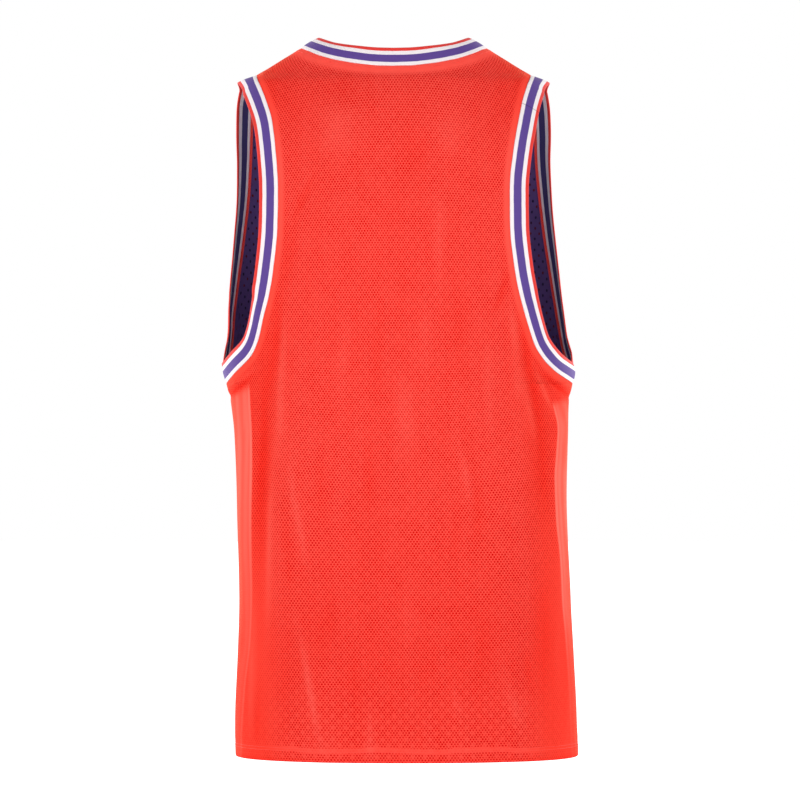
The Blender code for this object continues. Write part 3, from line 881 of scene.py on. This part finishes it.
REVERSE_WALL = 0.0006
REVERSE_HEM_WALL = 0.0013
REVERSE_AT_SEAM = 0.0014      # from the outer layer's face in to the reverse layer's, beside a band
REVERSE_DEPTH = 0.0027        # and away from the bands
REVERSE_FREE_REACH = 0.008    # how soon it gets there
REVERSE_HANG = 0.0030         # how much further in it hangs below the shoulders
REVERSE_HANG_TOP = -0.200
REVERSE_HANG_FULL = -0.310
REVERSE_HEM_RISE = 0.006
REVERSE_COLUMNS = 96
REVERSE_ROWS = (64, 28, 36)
REVERSE_WALE, REVERSE_COURSE = 0.0011, 0.0010
PURPLE_EYELET_SHADE = linear(34, 20, 56), linear(92, 22, 34)     # painted shade: what is seen through one, near-black purple or the outer layer's red in shadow


def purple_mesh_finish():
    made, tree, shader = finish_of("purple_mesh_cloth", linear(86, 65, 118), 0.62, 0.12,
                                   linear(170, 150, 215))
    across, up = cut_place(tree)
    opened, chance = eyelets(across, up, *REVERSE_EYELETS)
    depth = opened * ramped(mark_value(tree, "seam_distance"), 0.0030, 0.0050)
    plain = blended(noise(across, up, 0.050, 3.0), linear(80, 60, 110), linear(92, 70, 126))
    colour = blended(depth, plain, blended(ramped(chance, 0.45, 0.65), *PURPLE_EYELET_SHADE))
    knit = wave(across, REVERSE_WALE) * wave(up, REVERSE_COURSE) * 0.12
    return finished(made, shader, colour, knit - depth, 0.0006, 0.7)


purple_mesh = purple_mesh_finish()
reverse_panels = {}
for name, node, side in (("reverse_back_cloth", "inner_back", BACK),
                         ("reverse_front_cloth", "inner_front", FRONT)):
    plan = panel_plan(side, REVERSE_COLUMNS, REVERSE_ROWS, HEM + REVERSE_HEM_RISE, REVERSE_HEM_WALL)
    away = seam_reach(outer_plans[side], plan)[0]
    free = 1 - np.exp(-away / REVERSE_FREE_REACH)
    slack = np.clip((REVERSE_HANG_TOP - plan[1]) / (REVERSE_HANG_TOP - REVERSE_HANG_FULL), 0, 1)
    depth = REVERSE_AT_SEAM + (REVERSE_DEPTH - REVERSE_AT_SEAM + REVERSE_HANG * slack) * free
    reverse_panels[side] = panel(name, node, side, plan, depth - crease_height(*plan, side), REVERSE_WALL,
                                 REVERSE_HEM_WALL, purple_mesh, {"seam_distance": away})


# ======== The striped bands round the armholes and the neck ========
# Flat knitted rib, white with a purple middle stripe and a red finished edge. Each band is one strip,
# joined end to end and sewn to both layers, and its fine ribs run along it.

BAND_WIDTH = 0.0222
BAND_WALL = 0.0016
BAND_CROWN = 0.0003           # how much a band swells between its seam and its free edge
BAND_GAP = 0.0004
BAND_STEP = 0.0017            # from one line of points across a band to the next
BAND_LINES = np.array([0, 0.012, 0.04, 0.10, 0.18, 0.27, 0.36, 0.45, 0.54, 0.63, 0.72, 0.81, 0.88, 0.935,
                       0.965, 0.985, 0.996, 1])
STRIDE = 0.0012               # and from one step to the next, where a line is walked off the seam
SEAM_SMOOTHINGS = 3

# How sharply each band curls in under the form: height | curl behind, for each metre | and in front
LEFT_CURL = np.array([
    (-0.335, 0, 0),
    (-0.304, 2, 10),
    (-0.29, 6, 12.5),
    (-0.27, 10, 12.5),
    (-0.254, 8, 12.5),
    (-0.24, 0, 12),
    (-0.16, 0, 10.5),
    (-0.09, 0, 5),
    (-0.02, 0, 0),
])
RIGHT_CURL = np.array([
    (-0.335, 0, 0),
    (-0.318, 9, 6),
    (-0.304, 3.5, 10),
    (-0.27, 4.5, 12.5),
    (-0.254, 3, 12.5),
    (-0.24, 0, 12),
    (-0.16, 0, 10.5),
    (-0.09, 0, 5),
    (-0.02, 0, 0),
])
NECK_CURL = np.array([
    (-0.09, 0, 0),
    (-0.03, 0, 2),
    (0.007, 0, 6),
    (0.02, 6, 6),
    (0.036, 6, 6),
])
CURL_TURN = 3                 # how soon the curl is full, going round from the side to the front


def walk(angle, height, direction, distance):
    """Go a short way over the form from each point, as nearly as it allows in a direction."""
    by_angle, by_height = form_slopes(angle, height)
    aa = (by_angle * by_angle).sum(-1)
    ah = (by_angle * by_height).sum(-1)
    hh = (by_height * by_height).sum(-1)
    a = (by_angle * direction).sum(-1) * distance
    h = (by_height * direction).sum(-1) * distance
    spread = aa * hh - ah * ah
    return angle + (hh * a - ah * h) / spread, height + (aa * h - ah * a) / spread


def seam_loop(edge):
    """Round a seam that both outer panels share: along the back's edge, and back along the front's."""
    return evenly(*(np.concatenate([behind[edge], ahead[edge][::-1][1:-1]])
                    for behind, ahead in zip(outer_plans[BACK], outer_plans[FRONT])))


def evenly(angle, height):
    """A closed line over the form, with its points evenly spaced."""
    angle = np.unwrap(np.append(angle, angle[0]))
    height = np.append(height, height[0])
    run = lengths(*np.diff(form_point(angle, height), axis=0).T)
    places = np.linspace(0, run[-1], round(run[-1] / BAND_STEP) + 1)[:-1]
    angle, height = np.interp(places, run, angle), np.interp(places, run, height)
    turn = round((angle[-1] - angle[0]) / (2 * math.pi)) * 2 * math.pi
    for _ in range(SEAM_SMOOTHINGS):
        ahead, behind = np.roll(angle, -1), np.roll(angle, 1)
        ahead[-1] += turn
        behind[0] -= turn
        angle = (ahead + 2 * angle + behind) / 4
        height = (np.roll(height, -1) + 2 * height + np.roll(height, 1)) / 4
    return angle, height


def strip_lines(angle, height, inward, distances):
    """Lines alongside a closed seam, each at its distance from it over the form."""
    seam = form_point(angle, height)
    along = np.roll(seam, -2, axis=0) - np.roll(seam, 2, axis=0)
    away = np.cross(form_normal(angle, height), along) * inward
    away /= np.linalg.norm(away, axis=-1, keepdims=True)
    lines, gone = [], 0
    for distance in distances:
        steps = max(1, round(abs(distance - gone) / STRIDE))
        for _ in range(steps):
            angle, height = walk(angle, height, away, (distance - gone) / steps)
        gone = distance
        lines.append((angle, height))
    return lines


def curled_in(curl, angle, height, distance):
    """How far a band has curled in under the form at a distance from its seam."""
    behind, ahead = (smooth(curl, column, height) for column in (1, 2))
    in_front = np.clip(-CURL_TURN * np.cos(angle), 0, 1)
    return (behind + (ahead - behind) * in_front) * distance ** 2


def closed_strip(name, lines, distances, depths, walls, finish):
    """A strip of cloth along a closed seam: its outer points lie at a depth under the form."""
    points = np.array([form_point(*line) for line in lines])
    outward = np.array([form_normal(*line) for line in lines])
    run = lengths(*np.diff(np.concatenate([points[0], points[0, :1]]), axis=0).T)
    faces = []
    for below in (depths, depths + walls[:, None]):
        face = points - below[..., None] * outward
        faces.append(np.concatenate([face, face[:, :1]], axis=1))
    across, along = np.meshgrid(distances, run, indexing="ij")
    return cloth(name, *faces, np.stack([along, across], axis=-1), finish, {}), float(run[-1])


def striped(place, stripes):
    """Colour at a distance from the seam, of stripes given as (where the stripe ends, colour)."""
    width = stripes[-1][0]
    colour = worked_out("ShaderNodeValToRGB", {"Fac": place / width}, "Color")
    stops = colour.socket.node.color_ramp.elements
    stops[0].position, stops[0].color = 0, stripes[0][1]
    stops[1].position, stops[1].color = 1, stripes[-1][1]
    for (end, before), (_, after) in zip(stripes[:-1], stripes[1:]):
        stops.new((end - STRIPE_BLUR) / width).color = before
        stops.new((end + STRIPE_BLUR) / width).color = after
    return colour


def striped_rib_finish(name, join):
    """Rib with its stripes on both sides, those on the reverse side in painted shade, and where it is
    joined.
    """
    made, tree, shader = finish_of(name, linear(250, 244, 244), 0.68, 0.12, linear(255, 240, 245))
    along, across = cut_place(tree)
    chain = wave(along, CHAIN)
    place = across + chain * 0.00008 + (noise(along, across, 0.012) - 0.5) * 0.0006
    colour = blended(mark_value(tree, "inside"), striped(place, BAND_STRIPES),
                     striped(place, REVERSE_SHADED_STRIPES))
    knit = wave(across, RIB) + chain * 0.3
    joined = ramped(abs(along - join), 0.0009, 0.0003)
    # painted shade in the grooves between the ribs, and the darker join of the band
    groove_shade_and_dark_join = ramped(knit, -1.2, 1.2, 0.90, 1.0) * (1.0 - joined * 0.35)
    tinted = worked_out("ShaderNodeVectorMath", {0: colour, "Scale": groove_shade_and_dark_join}, "Vector", operation="SCALE")
    return finished(made, shader, tinted, knit * 0.3 - joined, 0.0004, 0.5)


RIB, CHAIN = 0.00105, 0.0009  # from one rib to the next, and from one stitch to the next along them
STRIPE_BLUR = 0.00012
WHITE_YARN, PURPLE_YARN, RED_YARN = linear(246, 238, 241), linear(96, 72, 148), linear(232, 64, 58)
SHADED_WHITE_YARN, SHADED_PURPLE_YARN = linear(232, 227, 232), linear(66, 60, 110)      # the reverse side's white and purple yarns, in painted shade
BAND_STRIPES = (0.0043, WHITE_YARN), (0.0132, PURPLE_YARN), (0.0178, WHITE_YARN), (BAND_WIDTH, RED_YARN)
REVERSE_SHADED_STRIPES = (0.0043, SHADED_WHITE_YARN), (0.0132, SHADED_PURPLE_YARN), (0.0184, SHADED_WHITE_YARN), (BAND_WIDTH, RED_YARN)

left_seam, right_seam, neck_seam = (
    (*seam_loop(edge), inward) for edge, inward in ((LEFT_ARMHOLE, 1), (RIGHT_ARMHOLE, -1), (NECKLINE, -1))
)
distances = BAND_GAP + (BAND_WIDTH - BAND_GAP) * BAND_LINES
half = BAND_WALL / 2
tucked = np.maximum(rounding(BAND_WIDTH - distances, half), rounding(distances - BAND_GAP + half / 3, half))
crown = BAND_CROWN * np.sin(math.pi * BAND_LINES)
walls = BAND_WALL - 2 * tucked + crown
for name, node, seam, curl, join in (
        ("armhole_rib_left", "armhole_band_left", left_seam, LEFT_CURL, 0.02),
        ("armhole_rib_right", "armhole_band_right", right_seam, RIGHT_CURL, 0.380),
        ("neck_rib", "neck_band", neck_seam, NECK_CURL, 0.01)):
    lines = strip_lines(*seam, distances)
    curled = np.array([curled_in(curl, *line, distance) for line, distance in zip(lines, distances)])
    depths = (tucked - crown)[:, None] + curled
    finish = striped_rib_finish(name + "_cloth", join)
    piece, length = closed_strip(name, lines, distances, depths, walls, finish)
    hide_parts(node)


# ======== The seam bindings inside the armholes and the neck ========
# Narrow strips of red knit over the seam allowances, where the bands meet both layers.

BINDING_LINES = np.array([-0.0019, -0.0016, -0.0008, 0, 0.0005, 0.0008])
BINDING_WALL = 0.0005
BINDING_DEPTH = REVERSE_AT_SEAM + REVERSE_WALL + 0.0001
BINDING_SLOPE = 0.0006        # how far it sinks over the reverse layer, away from the seam
BINDING_SLOPE_REACH = 0.002


def binding_finish():
    made, tree, shader = finish_of("red_binding_cloth", linear(240, 72, 66), 0.66, 0.15,
                                   linear(255, 190, 178))
    along, across = cut_place(tree)
    thread = calc("SINE", along * (2 * math.pi / 0.0016) + across * (2 * math.pi / 0.0030))
    colour = blended(ramped(thread, -1, 1), linear(226, 58, 54), linear(250, 84, 78))
    return finished(made, shader, colour, thread, 0.0003, 0.6)


red_binding = binding_finish()
bindings = []
for name, seam in (("armhole_binding_left", left_seam), ("armhole_binding_right", right_seam),
                   ("neck_binding", neck_seam)):
    sunk = 1 - np.exp(-np.clip(-BINDING_LINES, 0, None) / BINDING_SLOPE_REACH)
    depths = (BINDING_DEPTH + BINDING_SLOPE * sunk)[:, None]
    walls = np.full(len(BINDING_LINES), BINDING_WALL)
    lines = strip_lines(*seam, BINDING_LINES)
    piece, _ = closed_strip(name, lines, BINDING_LINES, depths, walls, red_binding)
    bindings.append(piece)


# ======== The sewing ========
# Coral sewing thread: twin rows round the hem, and a row on the panels along the neck band.

THREAD_RADIUS = 0.00019
STITCH = 0.0026
STITCH_DIP = 0.0004           # how far the thread dips into the cloth between stitches
STITCH_TURN = 0.35            # and how soon it turns down, as a share of its wave
STITCH_POINTS = 6             # points along each stitch
HEM_STITCHING_LOW, HEM_STITCHING_HIGH = 0.0112, 0.0141
NECK_STITCHING = -0.0047      # from the neck band's seam, on the panels' side


def sewn_row(name, angle, height, lift, finish):
    """A closed row of lockstitches over the form: the thread dips into the cloth between stitches."""
    points, outward = form_point(angle, height), form_normal(angle, height)
    rows = np.concatenate([points, outward, lift[:, None]], axis=1)
    rows = np.concatenate([rows, rows[:1]])
    run = lengths(*np.diff(rows[:, :3], axis=0).T)
    count = round(run[-1] / STITCH)
    places = np.linspace(0, run[-1], STITCH_POINTS * count + 1)[:-1]
    rows = np.stack([np.interp(places, run, column) for column in rows.T], axis=-1)
    phase = places / run[-1] * count * 2 * math.pi
    dip = STITCH_DIP * np.clip(np.cos(phase) - STITCH_TURN, 0, None) / (1 - STITCH_TURN)
    centre = rows[:, :3] + (rows[:, 6] + THREAD_RADIUS / 2 - dip)[:, None] * rows[:, 3:6]

    thread = bpy.data.curves.new(name, "CURVE")
    thread.dimensions = "3D"
    thread.bevel_depth = THREAD_RADIUS
    thread.bevel_resolution = 1
    line = thread.splines.new("POLY")
    line.points.add(len(centre) - 1)
    line.points.foreach_set("co", np.column_stack([centre, np.ones(len(centre))]).ravel())
    line.use_cyclic_u = True
    round_thread = bpy.data.objects.new(name, thread)
    shape = bmesh.new()
    shape.from_mesh(round_thread.to_mesh())
    bpy.data.objects.remove(round_thread)
    piece = finished_piece(name, shape, finish)
    return piece


def thread_finish():
    made, tree, shader = finish_of("coral_thread", linear(255, 80, 70), 0.5, 0.2, linear(255, 200, 190))
    place = source(tree, "ShaderNodeTexCoord", "Object")
    ply_and_highlight_lines = worked_out("ShaderNodeTexNoise", {"Vector": place, "Scale": 1800}, "Fac")
    return finished(made, shader, blended(ply_and_highlight_lines, linear(244, 66, 57), linear(255, 94, 83)), ply_and_highlight_lines, 0.0001, 0.4)


coral_thread = thread_finish()
round_body = np.linspace(-math.pi, math.pi, 1441)[:-1]
stitching = []
for name, rise in (("hem_stitching_low", HEM_STITCHING_LOW), ("hem_stitching_high", HEM_STITCHING_HIGH)):
    level = np.full_like(round_body, HEM + rise)
    stitching.append(sewn_row(name, round_body, level, hem_lift(round_body, level), coral_thread))
beside_neck = strip_lines(*neck_seam, [NECK_STITCHING])[0]
stitching.append(sewn_row("neck_stitching", *beside_neck, np.zeros(len(beside_neck[0])), coral_thread))

for panels, sewn_on in ((outer_panels, stitching), (reverse_panels, bindings)):
    for side, (piece, flat) in panels.items():
        width, length = np.ptp(flat.reshape(-1, 2), axis=0)
        cut_area(flat)
        sewn_on if side == BACK else []


# ======== The stage, the light and the camera ========
# A pale floor far below, even daylight all round with soft lights from the sides, and a long lens level
# with the middle of the jersey, straight behind it.

FLOOR_HEIGHT = -1.40
FLOOR_SIZE = 60.0
FLOOR_FADE = (2.5, 5.0)       # from here on the floor melts into the white beyond it
DAYLIGHT = 0.50               # from the level of the horizon
OVERHEAD = 0.64               # and from straight above
CAMERA_DISTANCE = 5.0
CAMERA_HEIGHT = -0.357
CAMERA_FOCAL_PIXELS = 4762
PICTURE_PIXELS = 800


def floor_finish():
    white = linear(255, 255, 255)
    made, tree, shader = finish_of("pale_floor", (0.86, 0.86, 0.86, 1), 0.9, 0.0, white, gloss=0.0)
    place = source(tree, "ShaderNodeTexCoord", "Object")
    radius = worked_out("ShaderNodeVectorMath", {0: place}, "Value", operation="LENGTH")
    feed(shader, {"Emission Color": white, "Emission Strength": ramped(radius, *FLOOR_FADE)})
    return made


floor_shape = bmesh.new()
bmesh.ops.create_grid(floor_shape, x_segments=8, y_segments=8, size=FLOOR_SIZE / 2)
bmesh.ops.translate(floor_shape, verts=floor_shape.verts, vec=(0, 0, FLOOR_HEIGHT))
added_shape("floor", floor_shape, floor_finish())

# the studio is white to look at, and lights the jersey more softly than its brightness says
world = bpy.data.worlds.new("studio")
world.use_nodes = True
sky = world.node_tree.nodes["Background"]
direction = source(world.node_tree, "ShaderNodeTexCoord", "Generated")
upwards = worked_out("ShaderNodeSeparateXYZ", {"Vector": direction}, "Z")
daylight = ramped(upwards, 0.05, 0.95, DAYLIGHT, OVERHEAD)
seen = source(world.node_tree, "ShaderNodeLightPath", "Is Camera Ray")
feed(sky, {"Color": (1, 1, 1, 1), "Strength": ramped(seen, 0, 1, daylight, 1.0)})
bpy.context.scene.world = world
bpy.context.scene.view_settings.view_transform = "Standard"

MIDDLE = Vector((0, 0, -0.36))
for name, place, width, height, watts in (
        ("light_left", (2.2, 2.8, 0.1), 1.4, 2.2, 31),
        ("light_right", (-2.2, 2.8, 0.1), 1.4, 2.2, 27),
        ("edge_light_left", (1.9, -1.8, 0.3), 0.9, 1.8, 60),
        ("edge_light_right", (-1.9, -1.8, 0.3), 0.9, 1.8, 60)):
    lamp = bpy.data.lights.new(name, "AREA")
    lamp.shape = "RECTANGLE"
    lamp.size = width
    lamp.size_y = height
    lamp.energy = watts
    light = added(name, lamp)
    light.location = place
    light.rotation_euler = (MIDDLE - Vector(place)).to_track_quat("-Z", "Y").to_euler()

camera_lens = bpy.data.cameras.new("camera")
camera_lens.lens = CAMERA_FOCAL_PIXELS * camera_lens.sensor_width / PICTURE_PIXELS
camera = added("camera", camera_lens)
camera.location = (0, CAMERA_DISTANCE, CAMERA_HEIGHT)
camera.rotation_euler = (math.pi / 2, 0, math.pi)
bpy.context.scene.camera = camera
